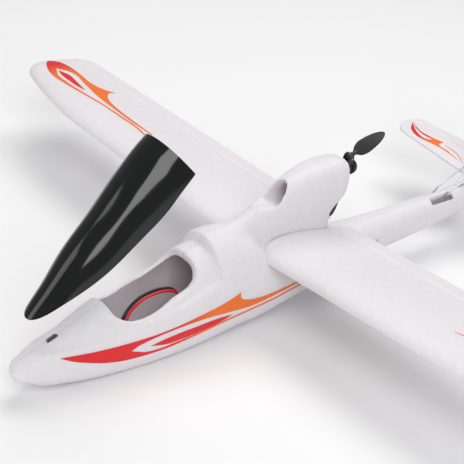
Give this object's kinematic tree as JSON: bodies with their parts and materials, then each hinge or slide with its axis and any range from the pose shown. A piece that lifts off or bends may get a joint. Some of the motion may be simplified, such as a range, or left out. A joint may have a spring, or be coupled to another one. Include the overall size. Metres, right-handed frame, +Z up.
{
  "type": "rc glider",
  "caption": "Foam electric glider: raised rear motor pod with a folding pusher propeller, open battery bay, gloss canopy lifted clear, hinged elevator and rudder.",
  "frame": {"origin": "centre plane of the fuselage, on the flat strip under the belly, 65 mm ahead of the wing leading edge", "axes": "+Z up, -Y towards the nose, +X towards the left wing tip as the pilot sees it"},
  "size_m": [0.75, 0.57, 0.1801],
  "materials": {
    "foam_white": "moulded bead foam, soft satin",
    "canopy_gloss_black": "polished",
    "propeller_black_nylon": "satin moulded",
    "receiver_black_plastic": "fine matt",
    "motor_mount_black": "satin",
    "carbon_rod": "pultruded, satin",
    "steel_wire": "drawn wire",
    "steel_pin": "ground",
    "motor_alloy": "turned, satin",
    "servo_blue_plastic": "translucent case, satin",
    "white_nylon": "satin moulded",
    "tray_plywood": "sanded, unvarnished",
    "controller_wrap": "shrink wrap",
    "battery_wrap": "shrink wrap",
    "lead_red_silicone": "silicone insulation",
    "lead_black_silicone": "silicone insulation",
    "plug_red_nylon": "moulded"
  },
  "bodies": {
    "airframe": {"fuselage_left_shell": "foam_white", "fuselage_right_shell": "foam_white", "wing_left_panel": "foam_white", "wing_right_panel": "foam_white", "stabilizer": "foam_white", "vertical_fin": "foam_white", "receiver_unit": "receiver_black_plastic", "motor_mount": "motor_mount_black", "wing_joiner_rod": "carbon_rod", "motor_can": "motor_alloy", "elevator_servo": "servo_blue_plastic", "rudder_servo": "servo_blue_plastic", "servo_tray": "tray_plywood", "speed_controller": "controller_wrap", "battery_pack": "battery_wrap", "battery_lead_red": "lead_red_silicone", "battery_lead_black": "lead_black_silicone", "battery_plug": "plug_red_nylon"},
    "propeller": {"motor_shaft": "steel_pin", "prop_yoke": "propeller_black_nylon", "prop_spinner": "propeller_black_nylon", "blade_pin_upper": "steel_pin", "blade_pin_lower": "steel_pin"},
    "blade_upper": {"blade_upper": "propeller_black_nylon"},
    "blade_lower": {"blade_lower": "propeller_black_nylon"},
    "elevator": {"elevator": "foam_white", "elevator_horn": "white_nylon"},
    "rudder": {"rudder": "foam_white", "rudder_horn": "white_nylon"},
    "elevator_pushrod": {"elevator_pushrod": "steel_wire"},
    "rudder_pushrod": {"rudder_pushrod": "steel_wire"},
    "elevator_servo_arm": {"elevator_servo_arm": "white_nylon"},
    "rudder_servo_arm": {"rudder_servo_arm": "white_nylon"},
    "canopy": {"canopy_shell": "canopy_gloss_black", "canopy_tongue": "canopy_gloss_black"}
  },
  "joints": [
    {"name": "prop_spin", "type": "hinge", "parent": "airframe", "child": "propeller", "pos_m": [0, 0.1635, 0.112], "axis": [0, 1, 0], "continuous": true},
    {"name": "upper_blade_fold", "type": "hinge", "parent": "propeller", "child": "blade_upper", "pos_m": [0.00177, 0.1635, 0.12235], "axis": [0.9857, 0, -0.1685], "range_deg": [-19, 66]},
    {"name": "lower_blade_fold", "type": "hinge", "parent": "propeller", "child": "blade_lower", "pos_m": [-0.00177, 0.1635, 0.10165], "axis": [0.9857, 0, -0.1685], "range_deg": [0, 85]},
    {"name": "elevator_hinge", "type": "hinge", "parent": "airframe", "child": "elevator", "pos_m": [0, 0.3865, 0.0621], "axis": [1, 0, 0], "range_deg": [-12, 12]},
    {"name": "elevator_rod", "type": "slide", "parent": "airframe", "child": "elevator_pushrod", "axis": [0, 1, 0], "range_m": [-0.0041, 0.0041]},
    {"name": "elevator_servo_turn", "type": "hinge", "parent": "airframe", "child": "elevator_servo_arm", "pos_m": [0.0056, 0.066, 0.0445], "axis": [0, 0, 1], "range_deg": [-19.5, 19.5]},
    {"name": "rudder_hinge", "type": "hinge", "parent": "airframe", "child": "rudder", "pos_m": [0, 0.392, 0.08], "axis": [0, 0, 1], "range_deg": [-18, 18]},
    {"name": "rudder_rod", "type": "slide", "parent": "airframe", "child": "rudder_pushrod", "axis": [0, 1, 0], "range_m": [-0.0045, 0.0045]},
    {"name": "rudder_servo_turn", "type": "hinge", "parent": "airframe", "child": "rudder_servo_arm", "pos_m": [-0.0056, 0.066, 0.0445], "axis": [0, 0, 1], "range_deg": [-21.5, 21.5]},
    {"name": "canopy_lift", "type": "hinge", "parent": "airframe", "child": "canopy", "pos_m": [0, -0.1889, 0.0385], "axis": [1, 0, 0], "range_deg": [-29.3, 0]}
  ],
  "couplings": [
    {"joint": "elevator_rod", "follows": "elevator_hinge", "m_per_rad": -0.019},
    {"joint": "elevator_servo_turn", "follows": "elevator_hinge", "ratio": -1.5833},
    {"joint": "rudder_rod", "follows": "rudder_hinge", "m_per_rad": -0.014},
    {"joint": "rudder_servo_turn", "follows": "rudder_hinge", "ratio": 1.1667}
  ]
}
